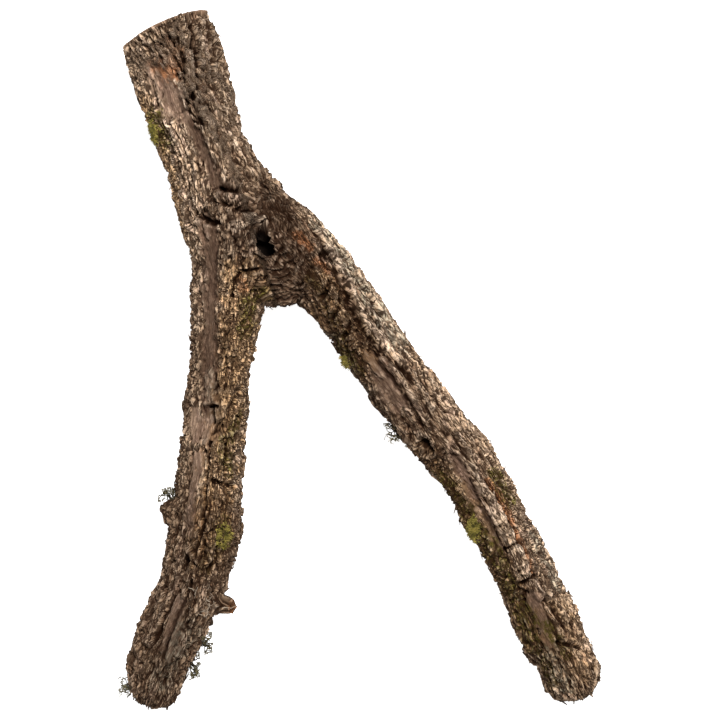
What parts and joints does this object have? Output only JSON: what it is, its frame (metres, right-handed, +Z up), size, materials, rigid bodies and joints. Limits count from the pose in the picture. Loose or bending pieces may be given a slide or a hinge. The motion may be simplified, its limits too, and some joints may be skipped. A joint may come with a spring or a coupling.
{
  "type": "forked tree branch",
  "caption": "Fallen forked tree branch with deep corky bark, a knotted fork, a broken twig stub, moss and lichen, lying flat.",
  "frame": {"origin": "on the surface that the branch lies on, under the middle of its bounding box", "axes": "+Y towards the thick sawn end of the trunk, +X towards the side of the longer limb, +Z up"},
  "size_m": [0.4188, 0.601, 0.0829],
  "materials": {
    "bark": "rough furrowed cork bark, dry and matte, purple-brown in the furrows and tan on the ridges",
    "twig_wood": "splintered red-brown broken wood, matte",
    "moss": "short dry yellow-green moss",
    "lichen": "wiry grey-brown lichen sprigs"
  },
  "bodies": {
    "root": {"trunk": "bark", "left_limb": "bark", "right_limb": "bark", "twig_stub": "twig_wood", "moss_on_trunk": "moss", "moss_below_fork": "moss", "moss_on_right_limb": "moss", "moss_on_left_limb": "moss", "lichen_left_knob": "lichen", "lichen_left_foot": "lichen", "lichen_left_shin": "lichen", "lichen_left_end": "lichen", "lichen_right_knob": "lichen"}
  },
  "joints": []
}
